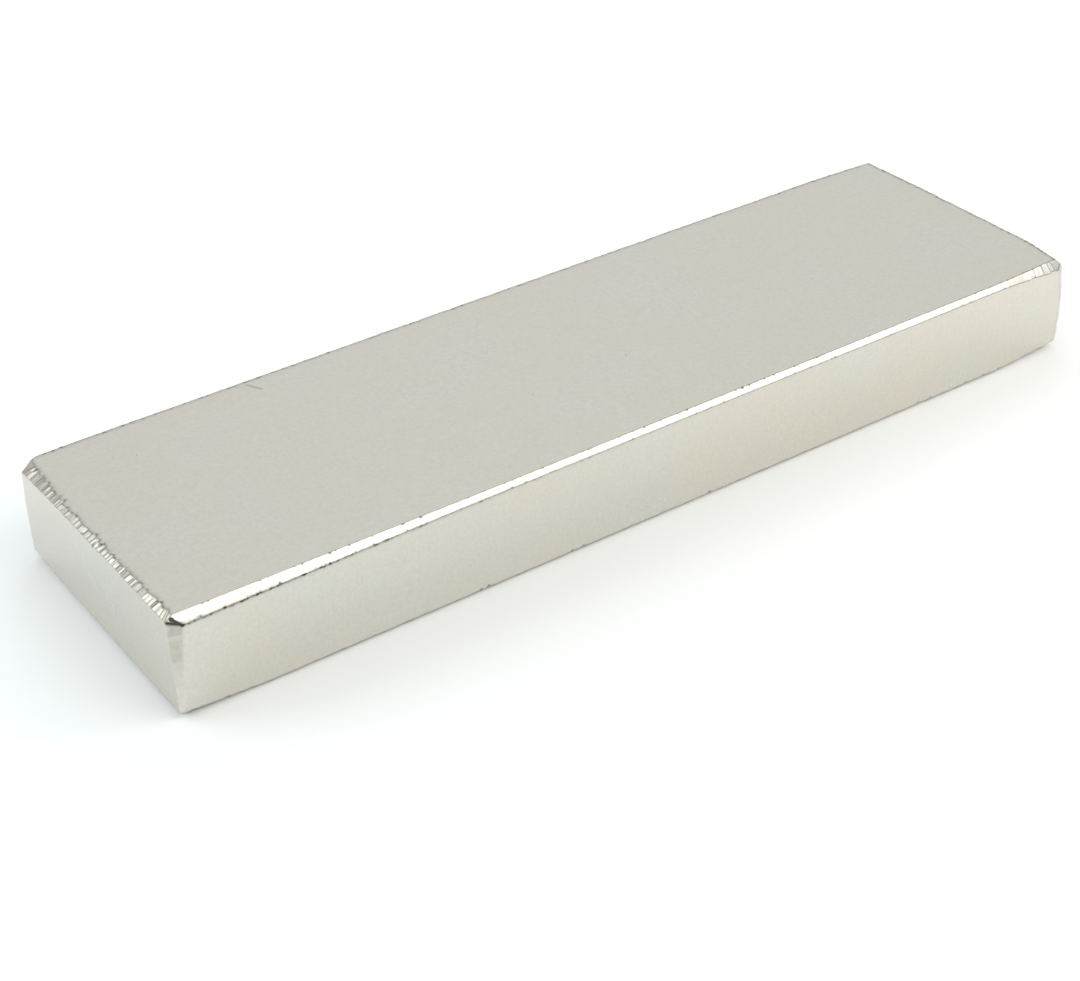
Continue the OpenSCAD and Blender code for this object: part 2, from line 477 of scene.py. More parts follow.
def loop_feet(at_top):
    """Feet of the whole loop, counter-clockwise from the front left corner, and for each corner
    the numbers of its columns."""
    height = np.array([UPRIGHT_HIGH if at_top else UPRIGHT_LOW])
    strips = [corner_feet(name, height)[0] for name in CORNERS]
    feet, ranges, count = [], [], 0
    for i, (side, (axis, _)) in enumerate(SIDES.items()):
        strip, following = strips[i], strips[(i + 1) % 4]
        feet.append(strip)
        ranges.append(np.arange(count, count + len(strip)))
        along = side_feet(("top_" if at_top else "bottom_") + side, strip[-1, axis], following[0, axis])
        row = np.empty((len(along), 2))
        row[:, axis] = along
        row[:, 1 - axis] = strip[-1, 1 - axis]
        feet.append(row)
        count += len(strip) + len(along)
    return np.concatenate(feet), ranges


for at_top in (False, True):
    print("top" if at_top else "bottom", "loop:", len(loop_feet(at_top)[0]), "columns")

# %% [markdown]
# Up each column the two ridges are found by bisection: the angle of the ray is halved in on until
# wall and bevel are met at the same distance, then bevel and cap. Seventeen rows are then laid
# from these ridges, close together where the skin turns, and every point is sent to the skin.

# %% One loop of columns over the bevels
# rows beside a ridge in mm, on the faces and on the bevel, and their largest shares of its width
AT_RIDGE, AT_RIDGE_SHARE = np.array([0.03, 0.10]), (0.08, 0.2)
# two more rows on the faces keep the soft ridge's shading off the large flat triangles
MARGIN = np.array([0.55, 0.25])


def meeting_angle(origin, level_way, sign, depth, before, after):
    """Angle above the level at which the planes in after begin to be met before those in before."""
    bottom, top = np.zeros(len(origin)), np.full(len(origin), math.pi / 2)
    for _ in range(32):
        angle = (bottom + top) / 2
        way = np.cos(angle)[:, None] * level_way + np.sin(angle)[:, None] * [0, 0, sign]
        met = meet(origin, way, depth)
        past = met[:, before].min(axis=1) > met[:, after].min(axis=1)
        bottom, top = np.where(past, bottom, angle), np.where(past, angle, top)
    way = np.cos(bottom)[:, None] * level_way + np.sin(bottom)[:, None] * [0, 0, sign]
    return origin + way * meet(origin, way, depth).min(axis=1)[:, None]


def loop_guides(feet, at_top):
    """Origin of each column's rays and its seventeen guide points (columns, rows, 3)."""
    sign = 1 if at_top else -1
    inner_low, inner_high = low[:2] + SPINE, high[:2] - SPINE
    origin = np.column_stack([np.clip(feet, inner_low, inner_high),
                              np.full(len(feet), high[2] - SPINE if at_top else low[2] + SPINE)])
    level_way = np.column_stack([feet - origin[:, :2], np.zeros(len(feet))])
    level_way /= np.linalg.norm(level_way, axis=1)[:, None]
    upright_ones = is_wall | np.any([belongs[name] for name in CORNERS], axis=0)
    sloping = ~is_face & ~upright_ones & (normals[:, 2] * sign > 0)
    cap = is_cap & (normals[:, 2] * sign > 0)
    edge = np.column_stack([feet, np.full(len(feet), high[2] if at_top else low[2])])
    depth = bites(edge, feet)
    outer = meeting_angle(origin, level_way, sign, depth, upright_ones, sloping)[:, None]
    inner = meeting_angle(origin, level_way, sign, depth, sloping, cap)[:, None]
    width = np.linalg.norm(inner - outer, axis=2)[..., None]
    share = across_bevel(width, AT_RIDGE, AT_RIDGE_SHARE, (0.33, 0.5, 0.67))
    beside = np.concatenate([MARGIN, AT_RIDGE[::-1], [0]])[:, None]
    wall_rows = outer - beside * np.array([0, 0, sign])
    cap_rows = inner - beside[::-1] * level_way[:, None]
    guides = np.concatenate([wall_rows, outer + share * (inner - outer), cap_rows], axis=1)
    return origin, guides, outer, inner


origin, guides, outer, inner = loop_guides(loop_feet(True)[0], True)
print("guides", guides.shape, "bevel", np.linalg.norm(inner - outer, axis=2).min().round(2), "to",
      np.linalg.norm(inner - outer, axis=2).max().round(2), "mm wide")

# %% [markdown]
# The shell is collected in one store: points, their marks, and faces as rows of point numbers.
# A chip pushes the points round it inwards along their rays, most at its middle, with a flank
# that ends softly: depth times the square of one minus the square of the distance.

# %% Store for the shell, and the chips' dents
MARKS = ("ground", "ridge", "seam", "groove", "tone", "chip")
shell = {"points": [], "quads": [], "triangles": [], **{mark: [] for mark in MARKS}}


def store(points, marks):
    """Adds points with their marks and returns their numbers in the shape of the grid."""
    start = sum(len(part) for part in shell["points"])
    flat = points.reshape(-1, 3)
    shell["points"].append(flat)
    for mark in MARKS:
        values = marks.get(mark, 0)
        shell[mark].append(np.broadcast_to(np.ravel(values), (len(flat),)) if np.ndim(values)
                           else np.full(len(flat), float(values)))
    return start + np.arange(len(flat)).reshape(points.shape[:-1])


def quads_of(numbers, closed=False, flip=False):
    """Quads between neighbouring columns and rows of a grid of point numbers."""
    nxt = np.roll(numbers, -1, axis=0) if closed else numbers[1:]
    here = numbers if closed else numbers[:-1]
    quads = np.stack([here[:, :-1], nxt[:, :-1], nxt[:, 1:], here[:, 1:]], axis=-1).reshape(-1, 4)
    shell["quads"].append(quads[:, ::-1] if flip else quads)


def dent(points, ways, centre, radius, depth):
    """Moves points back along their rays by depth x (1 - (distance / radius)^2)^2, and returns
    them with the same bell as a mask."""
    distance_2 = ((points - centre) ** 2).sum(axis=-1) / radius ** 2
    bell = np.clip(1 - distance_2, 0, 1) ** 2
    return points - ways * (depth * bell)[..., None], bell


print("marks carried by the points:", ", ".join(MARKS))

# %% [markdown]
# Now both loops are made. The chips' middles are looked up on the ridges that the bisection
# found. The loops keep the numbers of their outer rows, because the strips and panels join there.

# %% The top and bottom loops
loops = {}
for at_top in (False, True):
    feet, ranges = loop_feet(at_top)
    origin, guides, outer, inner = loop_guides(feet, at_top)
    columns, rows = guides.shape[:2]
    every_foot = np.repeat(feet, rows, axis=0)
    point, way, marks = skin(np.repeat(origin, rows, axis=0), guides.reshape(-1, 3), every_foot)
    chip_mask = np.zeros(len(point))
    for side, (axis, sign) in SIDES.items():
        wall = high[1 - axis] if sign > 0 else low[1 - axis]
        mine = np.abs(feet[:, 1 - axis] - wall) < 1e-6
        order = np.argsort(feet[mine, axis])
        for along, on_cap, radius in CHIPS[("top_" if at_top else "bottom_") + side]:
            ridge = (inner if on_cap else outer)[mine, 0][order]
            centre = np.array([np.interp(along, feet[mine, axis][order], ridge[:, k]) for k in range(3)])
            point, bell = dent(point, way, centre, radius, radius * CHIP_DEPTH)
            chip_mask = np.maximum(chip_mask, bell)
    if at_top:
        point, bell = dent(point, way, CORNER_MIDDLE, CORNER_RADIUS, CORNER_RADIUS * CORNER_DEPTH)
        chip_mask = np.maximum(chip_mask, bell)
    marks["chip"] = chip_mask
    numbers = store(point.reshape(columns, rows, 3), marks)
    quads_of(numbers, closed=True, flip=not at_top)
    loops[at_top] = {"numbers": numbers, "ranges": ranges, "points": point.reshape(columns, rows, 3)}
    print("top" if at_top else "bottom", "loop:", columns, "x", rows, "points")

# %% [markdown]
# Between the loops stand the four upright strips. Their rows are level and follow the borders of
# the upright facets. The first and last row are the loops' own outer rows, so nothing gapes.

# %% The upright strips
# how close a row comes to the loops and to the next row, in mm
TO_LOOP, TO_NEXT_ROW = 0.05, 0.015
strips = {}
for i, name in enumerate(CORNERS):
    below = loops[False]["points"][loops[False]["ranges"][i], 0]
    above = loops[True]["points"][loops[True]["ranges"][i], 0]
    borders = cuts[name]["borders"][1:-1]
    heights = np.sort((borders[:, None] + STEPS).ravel())
    heights = heights[(heights > below[:, 2].max() + TO_LOOP) & (heights < above[:, 2].min() - TO_LOOP)]
    heights = thinned(heights, TO_NEXT_ROW)
    feet = corner_feet(name, heights)
    columns = feet.shape[1]
    level = np.broadcast_to(heights[:, None, None], (len(heights), columns, 1))
    guide = np.concatenate([feet, level], axis=2)
    inside = np.clip(feet, low[:2] + SPINE, high[:2] - SPINE)
    origin = np.concatenate([inside, guide[..., 2:]], axis=2)
    point, way, marks = skin(origin.reshape(-1, 3), guide.reshape(-1, 3), feet.reshape(-1, 2))
    numbers = store(point.reshape(len(heights), columns, 3), marks)
    numbers = np.vstack([loops[False]["numbers"][loops[False]["ranges"][i], 0], numbers,
                         loops[True]["numbers"][loops[True]["ranges"][i], 0]])
    quads_of(numbers.T)
    strips[name] = numbers
    print(name, "strip:", len(heights), "x", columns, "points")

# %% [markdown]
# The six faces are flat, so they need few points, but they have to join thousands of points round
# their rims. A constrained Delaunay triangulation does that: it takes the rim as fixed edges and
# fills it with well shaped triangles. Where a face has a pit or a scratch, a small patch of
# points gives it a real dent.

# %% Pits and scratches on the faces
# face: (middle or two ends on the face in mm, radius, depth)
PITS = {
    "top": [((3.78, -3.33), None, 0.20, 0.020), ((-27.46, 14.18), (-26.5, 12.29), 0.26, 0.006),
            ((-42.8, 9.9), None, 0.13, 0.012), ((-40.9, 9.0), None, 0.12, 0.012),
            ((-45.1, 14.2), None, 0.10, 0.010), ((-27.7, 0.36), None, 0.11, 0.010),
            ((-7.2, -3.9), None, 0.12, 0.006), ((21.0, 4.0), None, 0.12, 0.008)],
    "left": [((-4.71, 4.75), None, 0.12, 0.012), ((-9.25, 1.03), None, 0.12, 0.012)],
}
# the other faces: how far their pits reach on both sides of the middle, and where that is upwards
SCATTERED = {"bottom": (44, 11, 0), "back": (44, 3, 5), "right": (11, 3, 5)}
for i, (face, (along, across, middle)) in enumerate(SCATTERED.items()):
    rng = np.random.default_rng(140 + i)
    PITS[face] = [((rng.uniform(-along, along), rng.uniform(-across, across) + middle), None,
                   rng.uniform(0.10, 0.18), rng.uniform(0.006, 0.014)) for _ in range(6)]
print({face: len(pits) for face, pits in PITS.items()}, "pits")

# %% [markdown]
# A patch round a pit is a set of rings, and round a scratch the rings are stretched along it. The
# depth is the same soft bell as for the chips, of the distance to the line between the two ends.

# %% Panels between the loops and strips
# spacing of the plain points and how far they keep from the rims in mm, and from a pit in radii
GRID, INSET, CLEAR_OF_PIT = 3, np.array([2.6, 2.6, 2.0]), 2.2
# a patch's rings and its rows on both sides of a scratch in radii, and the stops along it in mm
RINGS, ROWS, STOP = (0.25, 0.5, 0.7, 0.85, 1.0, 1.15), (0.25, 0.5, 0.8, 1.15), 0.12
# how strongly the chips' dirt shows in a pit
PIT_DIRT = 0.35


def patch(start, end, radius):
    """Rings of points at growing distances round the line from start to end, with its own points."""
    start, end = np.array(start), np.array(start if end is None else end)
    angle = np.arange(16) * math.pi / 8
    rings = np.array(RINGS)[:, None, None] * radius
    circle = np.column_stack([np.cos(angle), np.sin(angle)])
    length = np.linalg.norm(end - start)
    stops = np.linspace(0, 1, 1 + int(length / STOP))[:, None]
    line = start + stops * (end - start)
    if length == 0:
        return np.concatenate([line[:1], (start + rings * circle).reshape(-1, 2)])
    side = np.array([start[1] - end[1], end[0] - start[0]]) / length
    rows = [line + side * radius * k for k in (*(-k for k in ROWS[::-1]), 0, *ROWS)]
    caps = [middle + k * radius * (end - start) / length
            for middle, k in ((start, -0.6), (start, -1.1), (end, 0.6), (end, 1.1))]
    return np.concatenate(rows + [np.array(caps)])


def pit_bell(flat, start, end, radius):
    """Bell of the distance from each point to the line from start to end."""
    start, end = np.array(start), np.array(start if end is None else end)
    run = end - start
    share = np.clip(((flat - start) @ run) / max(run @ run, 1e-9), 0, 1)[:, None]
    gap = np.linalg.norm(flat - start - share * run, axis=1)
    return np.clip(1 - (gap / radius) ** 2, 0, 1) ** 2


def panel(face, axis, sign, rim):
    """Fills the rim, which runs counter-clockwise seen from outside, and dents the pits."""
    shown = [k for k in range(3) if k != axis]
    rim_points = np.concatenate(shell["points"])[rim]
    flat_rim = rim_points[:, shown]
    spans = [np.linspace(low[k] + gap, high[k] - gap, max(2, round((high[k] - low[k] - 2 * gap) / GRID) + 1))
             for k, gap in zip(shown, INSET[shown])]
    grid = np.stack(np.meshgrid(*spans, indexing="ij"), axis=-1).reshape(-1, 2)
    pits = PITS.get(face, [])
    for start, end, radius, _ in pits:
        grid = grid[pit_bell(grid, start, end, radius * CLEAR_OF_PIT) == 0]
    inside = np.concatenate([grid] + [patch(start, end, radius) for start, end, radius, _ in pits])
    flat = np.concatenate([flat_rim, inside])
    ring = np.arange(len(rim))
    edges = np.column_stack([ring, np.roll(ring, -1)])
    found = delaunay_2d_cdt(flat.tolist(), edges.tolist(), [], 1, 1e-7)
    came_from = [origins[0] if origins else -1 for origins in found[3]]
    wall = high[axis] if sign > 0 else low[axis]
    points = np.full((len(inside), 3), wall)
    points[:, shown] = inside
    bell = np.zeros(len(inside))
    for start, end, radius, depth in pits:
        one = pit_bell(inside, start, end, radius)
        points[:, axis] -= sign * depth * one
        bell = np.maximum(bell, one)
    added = store(points, {"chip": bell * PIT_DIRT})
    numbers = np.concatenate([rim, added])[np.array(came_from)]
    triangles = numbers[np.array(found[2])]
    shape = np.concatenate(shell["points"])[triangles[:50]]
    facing = np.cross(shape[:, 1] - shape[:, 0], shape[:, 2] - shape[:, 0])[:, axis].sum() * sign
    shell["triangles"].append(triangles if facing > 0 else triangles[:, ::-1])
    print(face, "panel:", len(rim), "rim points,", len(inside), "inside,", len(triangles), "triangles,",
          "made of", len(found[0]), "corners")


for face, at_top in (("bottom", False), ("top", True)):
    panel(face, 2, 1 if at_top else -1, loops[at_top]["numbers"][:, -1])
for i, (face, (along, sign)) in enumerate(SIDES.items()):
    here, there = strips[CORNERS[i]][:, -1], strips[CORNERS[(i + 1) % 4]][:, 0]
    bounds = []
    for at_top in (False, True):
        ends = loops[at_top]["ranges"]
        last = ends[(i + 1) % 4][0] if i < 3 else len(loops[at_top]["numbers"])
        bounds.append(loops[at_top]["numbers"][ends[i][-1] + 1:last, 0])
    panel(face, 1 - along, sign, np.concatenate([bounds[0], there, bounds[1][::-1], here[::-1]]))

# %% [markdown]
# The mesh is put together in one go. It is checked as a maker would check a casting: every edge
# belongs to exactly two faces that run along it in opposite ways, and the volume is positive, so
# the skin is closed and faces outwards.

# %% The mesh
points = np.concatenate(shell["points"])
quads = np.concatenate(shell["quads"])
triangles = np.concatenate(shell["triangles"])
skin_mesh = bpy.data.meshes.new("plated_block")
skin_mesh.from_pydata((points * MM).tolist(), [], quads.tolist() + triangles.tolist())
skin_mesh.shade_smooth()
for mark in MARKS:
    attribute = skin_mesh.attributes.new(mark, "FLOAT", "POINT")
    attribute.data.foreach_set("value", np.concatenate(shell[mark]).astype(np.float32))

split = np.concatenate([quads[:, [0, 1, 2]], quads[:, [0, 2, 3]], triangles])
ways = np.concatenate([split[:, [0, 1]], split[:, [1, 2]], split[:, [2, 0]]]).astype(np.int64)
forward = np.sort(ways[:, 0] * len(points) + ways[:, 1])
backward = np.sort(ways[:, 1] * len(points) + ways[:, 0])
closed = len(np.unique(forward)) == len(forward) and (forward == backward).all()
volume = (np.cross(points[split[:, 0]], points[split[:, 1]]) * points[split[:, 2]]).sum() / 6
print(len(points), "points,", len(split), "triangles, closed:", closed, "volume", round(volume, 1), "mm3")

# %% [markdown]
# A UV map lays the skin out flat as six islands, one for each way that a face can look. The
# bevels lie beside the face that they lean to. Every island has the same scale.

# %% UV map
# a face whose normal has at least this part upwards, or else this part along Y, goes by that axis
UPWARDS, ACROSS = 0.35, 0.3
# side of the sheet and the middles of its islands in mm
SHEET = 104.0
ISLANDS = {(2, 1): (52, 17), (2, -1): (52, 49), (1, -1): (52, 66), (1, 1): (52, 78), (0, -1): (17, 94),
           (0, 1): (50, 94)}
lengths = np.array([4] * len(quads) + [3] * len(triangles))
corner_points = np.concatenate([quads.ravel(), triangles.ravel()])
looks = np.empty(len(lengths) * 3, np.float32)
skin_mesh.polygons.foreach_get("normal", looks)
looks = looks.reshape(-1, 3)
main = np.where(np.abs(looks[:, 2]) > UPWARDS, 2, np.where(np.abs(looks[:, 1]) > ACROSS, 1, 0))
main_corner = np.repeat(main, lengths)
side_corner = np.repeat(np.where(looks[np.arange(len(looks)), main] > 0, 1, -1), lengths)
uv = np.zeros((len(corner_points), 2))
for (axis, sign), middle in ISLANDS.items():
    mine = (main_corner == axis) & (side_corner == sign)
    shown = [k for k in range(3) if k != axis]
    centre = (low[shown] + high[shown]) / 2
    uv[mine] = (points[corner_points[mine]][:, shown] - centre + middle) / SHEET
skin_mesh.uv_layers.new(name="OFBake").data.foreach_set("uv", uv.ravel().astype(np.float32))
print("uv from", uv.min(axis=0).round(3), "to", uv.max(axis=0).round(3))

# %% [markdown]
# The piece stands in for the plain solid and rides on the one body that the part has.

# %% The piece
plated_block = bpy.data.objects.new("plated_block", skin_mesh)
bpy.context.scene.collection.objects.link(plated_block)
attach(plated_block, "root")
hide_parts("magnet")
print("piece", plated_block.name, "of", len(skin_mesh.polygons), "faces")

# %% [markdown]
# Materials are built from nodes. A few short helpers add a node, fill its sockets by name and
# start a node group, which keeps the recipes readable.

# %% Helpers for nodes


def add(tree, kind, settings=None, **sockets):
    """Adds a node; settings are its own properties, sockets a value or another node's output."""
    node = tree.nodes.new(kind)
    for key, value in (settings or {}).items():
        setattr(node, key, value)
    for key, value in sockets.items():
        socket = node.inputs[int(key[1:])] if key[1:].isdigit() else node.inputs[key.replace("_", " ")]
        if isinstance(value, bpy.types.NodeSocket):
            tree.links.new(value, socket)
        else:
            socket.default_value = value
    return node


def math_node(tree, operation, *values):
    """One Math node with its values in order; returns its output."""
    sockets = {f"i{n}": value for n, value in enumerate(values)}
    return add(tree, "ShaderNodeMath", {"operation": operation}, **sockets).outputs[0]


def vector_node(tree, operation, first_value, second_value, output=0):
    """One Vector Math node; returns the vector, or with output 1 the number that it gives."""
    return add(tree, "ShaderNodeVectorMath", {"operation": operation}, i0=first_value,
               i1=second_value).outputs[output]


def new_group(name, vectors, numbers, results):
    """A node group with vector inputs, number inputs and number outputs of these names. Returns
    the group, and from inside it what comes in and what goes out."""
    group = bpy.data.node_groups.new(name, "ShaderNodeTree")
    for names, way, kind in ((vectors, "INPUT", "Vector"), (numbers, "INPUT", "Float"),
                             (results, "OUTPUT", "Float")):
        for socket in names:
            group.interface.new_socket(name=socket, in_out=way, socket_type="NodeSocket" + kind)
    return group, add(group, "NodeGroupInput").outputs, add(group, "NodeGroupOutput").inputs


print("helpers ready")

# %% [markdown]
# Nickel from a plating bath is satin: a fine grain that shows as a soft sparkle, over wide and
# very faint clouds. Paper has both too, at other sizes, so the two patterns are one node group
# with sockets for their sizes and used in both materials.

# %% Grain and clouds, a shared group
grain_group, entry, leave = new_group("grain_and_clouds", ["Vector"], ["Grain Size", "Cloud Size"],
                                      ["Grain", "Clouds"])
fine = add(grain_group, "ShaderNodeTexNoise", None, Vector=entry["Vector"], Detail=3.0, Roughness=0.6,
           Scale=math_node(grain_group, "DIVIDE", 1.0, entry["Grain Size"]))
wide = add(grain_group, "ShaderNodeTexNoise", None, Vector=entry["Vector"], Detail=3.0, Roughness=0.55,
           Scale=math_node(grain_group, "DIVIDE", 1.0, entry["Cloud Size"]))
grain_group.links.new(fine.outputs[0], leave["Grain"])
grain_group.links.new(wide.outputs[0], leave["Clouds"])
print("group", grain_group.name, "with", len(grain_group.nodes), "nodes")

# %% [markdown]
# A scar is darkest on the line between two points and fades at a given distance from it. The
# nearest place on that line is start + share x (end - start), where share is the dot product of
# (point - start) and (end - start), over the length squared, kept between 0 and 1.

# %% A scar between two points, as a node group
scar_group, entry, leave = new_group("scar", ["Vector", "Start", "End"], ["Radius"], ["Mask"])
gone = vector_node(scar_group, "SUBTRACT", entry["Vector"], entry["Start"])
whole = vector_node(scar_group, "SUBTRACT", entry["End"], entry["Start"])
share = math_node(scar_group, "DIVIDE", vector_node(scar_group, "DOT_PRODUCT", gone, whole, 1),
                  vector_node(scar_group, "DOT_PRODUCT", whole, whole, 1))
share = add(scar_group, "ShaderNodeClamp", None, Value=share).outputs[0]
along_it = add(scar_group, "ShaderNodeVectorMath", {"operation": "SCALE"}, i0=whole, Scale=share).outputs[0]
away = vector_node(scar_group, "DISTANCE", gone, along_it, 1)
fade = add(scar_group, "ShaderNodeMapRange", {"interpolation_type": "SMOOTHSTEP"},
           Value=math_node(scar_group, "DIVIDE", away, entry["Radius"]), From_Min=1.3, From_Max=0.7)
scar_group.links.new(fade.outputs[0], leave["Mask"])
print("group", scar_group.name, "with", len(scar_group.nodes), "nodes")

# %% [markdown]
# The plating is a metal, so its colour is the colour of its reflection: nickel is a warm, slightly
# yellow grey. Its roughness spreads the studio's reflection until no shape in it can be read. The
# ground bevels are darker and shinier. Painted shade darkens the ridges, the facets' borders, the
# upright bevels in view and the last top front facets, the seams where a corner's bevels meet are
# darker, and dirt has settled in the chips, pits and scars.

# %% Nickel plating
NICKEL = (0.684, 0.682, 0.632, 1)
NICKEL_WARM = (0.711, 0.673, 0.588, 1)
# the near black of dirt and of the painted shade along ridges and facet borders
DIRT_AND_SHADE_COLOUR = (0.035, 0.033, 0.030, 1)
# how much darker the ground bevels are, and how much their tones and the grain vary
GROUND_SHADE, TONE_SHADE, GRAIN_SHADE = 0.14, 0.12, 0.20
# roughness of the plating, and what clouds, grinding, and the dirt and painted shade add to it
ROUGH, CLOUD_ROUGH, GROUND_ROUGH, DIRT_AND_SHADE_ROUGH = 0.25, 0.06, -0.13, 0.25
# sizes of grain and clouds in metres, and the specks per metre that break up the dark lines
GRAIN_SIZE, CLOUD_SIZE, SPECKS = 0.00035, 0.011, 2000.0
# how much of each mark darkens the metal: painted shade on the facets' borders, darker seams, dirt in chips
# and pits
DIRT_AND_SHADE_SHARE = {"seam": 0.97, "groove": 0.7, "chip": 0.85}
SCAR_DIRT = 0.95
# start, end and radius in mm of the scars at the worn corner
SCARS = [((-49.43, -14.50, 9.72), (-49.38, -14.54, 9.70), 0.20),
         ((-49.41, -14.53, 9.72), (-48.70, -15.01, 9.11), 0.15)]

nickel = bpy.data.materials.new("nickel_plate")
nickel.use_nodes = True
tree = nickel.node_tree
plate = tree.nodes["Principled BSDF"]
plate.inputs["Metallic"].default_value = 1.0
where = add(tree, "ShaderNodeTexCoord").outputs["Object"]
satin = add(tree, "ShaderNodeGroup", {"node_tree": grain_group}, Vector=where, Grain_Size=GRAIN_SIZE,
            Cloud_Size=CLOUD_SIZE).outputs
mark = {name: add(tree, "ShaderNodeAttribute", {"attribute_name": name}).outputs["Fac"] for name in MARKS}

cloudy = add(tree, "ShaderNodeMapRange", None, Value=satin["Clouds"], From_Min=0.2, From_Max=0.8)
colour = add(tree, "ShaderNodeMix", {"data_type": "RGBA"}, i0=cloudy.outputs[0], i6=NICKEL, i7=NICKEL_WARM)
# darker bevels: the ground finish, and painted shade where the mark is made stronger in view and on the last
# top front facets
facet_shade = math_node(tree, "MULTIPLY_ADD", mark["tone"], TONE_SHADE, GROUND_SHADE - TONE_SHADE / 2)
facet_shade = math_node(tree, "MULTIPLY", mark["ground"], facet_shade)
grainy = math_node(tree, "MULTIPLY_ADD", satin["Grain"], GRAIN_SHADE, -GRAIN_SHADE / 2)
shade = math_node(tree, "SUBTRACT", 1.0, math_node(tree, "ADD", facet_shade, grainy))
grey = add(tree, "ShaderNodeCombineColor", None, Red=shade, Green=shade, Blue=shade).outputs[0]
colour = add(tree, "ShaderNodeMix", {"data_type": "RGBA", "blend_type": "MULTIPLY"}, i0=1.0,
             i6=colour.outputs[2], i7=grey)
speck = add(tree, "ShaderNodeTexNoise", None, Vector=where, Scale=SPECKS, Detail=2.0)
speckled = add(tree, "ShaderNodeMapRange", None, Value=speck.outputs[0], From_Min=0.50, From_Max=0.66)
speckles = math_node(tree, "MULTIPLY_ADD", speckled.outputs[0], 0.8, 0.5)
# painted shade: dark lines along the ridges, broken up by specks
dirt_and_shade = math_node(tree, "MULTIPLY", mark["ridge"], speckles)
# painted shade on the facets' borders, darker seams, and dirt in chips and pits
for name, amount in DIRT_AND_SHADE_SHARE.items():
    dirt_and_shade = math_node(tree, "MAXIMUM", dirt_and_shade, math_node(tree, "MULTIPLY", mark[name], amount))
for start, end, radius in SCARS:
    scar = add(tree, "ShaderNodeGroup", {"node_tree": scar_group}, Vector=where, Radius=radius * MM,
               Start=[k * MM for k in start], End=[k * MM for k in end])
    dirt_and_shade = math_node(tree, "MAXIMUM", dirt_and_shade, math_node(tree, "MULTIPLY", scar.outputs[0], SCAR_DIRT))
with_dirt_and_shade = add(tree, "ShaderNodeMix", {"data_type": "RGBA"}, i0=dirt_and_shade, i6=colour.outputs[2], i7=DIRT_AND_SHADE_COLOUR)
tree.links.new(with_dirt_and_shade.outputs[2], plate.inputs["Base Color"])

rough = math_node(tree, "MULTIPLY_ADD", satin["Clouds"], CLOUD_ROUGH, ROUGH)
rough = math_node(tree, "MULTIPLY_ADD", mark["ground"], GROUND_ROUGH, rough)
rough = math_node(tree, "MULTIPLY_ADD", dirt_and_shade, DIRT_AND_SHADE_ROUGH, rough)
tree.links.new(rough, plate.inputs["Roughness"])
bump = add(tree, "ShaderNodeBump", None, Height=satin["Grain"], Strength=0.25, Distance=0.00001)
tree.links.new(bump.outputs[0], plate.inputs["Normal"])
skin_mesh.materials.append(nickel)
print("nickel has", len(tree.nodes), "nodes")

# %% [markdown]
# The block lies on a plain white sheet. It is a large matt plane, a hair below the block's bottom
# face so that the two never fight for the same place.

# %% Floor
# half the sheet's width and the hair's breadth below the block, in metres
REACH, HAIR = 3.0, 0.00002
PAPER, PAPER_BRIGHT = (0.930, 0.950, 0.940, 1), (0.945, 0.955, 0.948, 1)
floor_mesh = bpy.data.meshes.new("floor")
sheet_corners = [(x * REACH, y * REACH, 0) for x, y in ((-1, -1), (1, -1), (1, 1), (-1, 1))]
floor_mesh.from_pydata(sheet_corners, [], [(0, 1, 2, 3)])
floor = bpy.data.objects.new("floor", floor_mesh)
floor.location.z = cad_low.z - HAIR
bpy.context.scene.collection.objects.link(floor)
paper = bpy.data.materials.new("paper")
paper.use_nodes = True
tree = paper.node_tree
sheet = tree.nodes["Principled BSDF"]
sheet.inputs["Roughness"].default_value = 0.9
sheet.inputs["Specular IOR Level"].default_value = 0.1
where = add(tree, "ShaderNodeTexCoord").outputs["Object"]
fibre = add(tree, "ShaderNodeGroup", {"node_tree": grain_group}, Vector=where, Grain_Size=0.0006,
            Cloud_Size=0.05).outputs
tint = add(tree, "ShaderNodeMix", {"data_type": "RGBA"}, i0=fibre["Clouds"], i6=PAPER, i7=PAPER_BRIGHT)
tree.links.new(tint.outputs[2], sheet.inputs["Base Color"])
floor_mesh.materials.append(paper)
print("floor", 2 * REACH, "m wide")

# %% [markdown]
# A shiny block shows the room more than its own colour, so the light is a plain pale room with
# softly bordered windows, painted on the world by direction. A window's mask is the product of
# four soft steps: one each at its left, right, low and high border.

# %% A soft window, as a node group
window_group, entry, leave = new_group("soft_window", [], ["Azimuth", "Elevation", "Left", "Right",
                                                           "Low", "High", "Soft"], ["Mask"])
mask = None
for angle, start, end in (("Azimuth", "Left", "Right"), ("Elevation", "Low", "High")):
    for border, way in ((start, 1), (end, -1)):
        gap = math_node(window_group, "SUBTRACT", entry[angle], entry[border])
        inwards = math_node(window_group, "MULTIPLY", gap, float(way))
        share = math_node(window_group, "DIVIDE", inwards, entry["Soft"])
        ramp = add(window_group, "ShaderNodeMapRange", {"interpolation_type": "SMOOTHSTEP"}, Value=share,
                   From_Min=-0.5, From_Max=0.5).outputs[0]
        mask = ramp if mask is None else math_node(window_group, "MULTIPLY", mask, ramp)
window_group.links.new(mask, leave["Mask"])
print("group", window_group.name, "with", len(window_group.nodes), "nodes")

# %% [markdown]
# Directions are angles in degrees: the azimuth from the front (-Y) towards the right (+X), and the
# elevation above the floor. One bright window at the front right turns the top front bevel white,
# and one at the back left shows in some facets of the left bevel. The others are weaker, and most
# are darker than the room. They tone the faces, the ridges and the duller facets.

# %% The room
ROOM = (0.858, 0.866, 0.862)
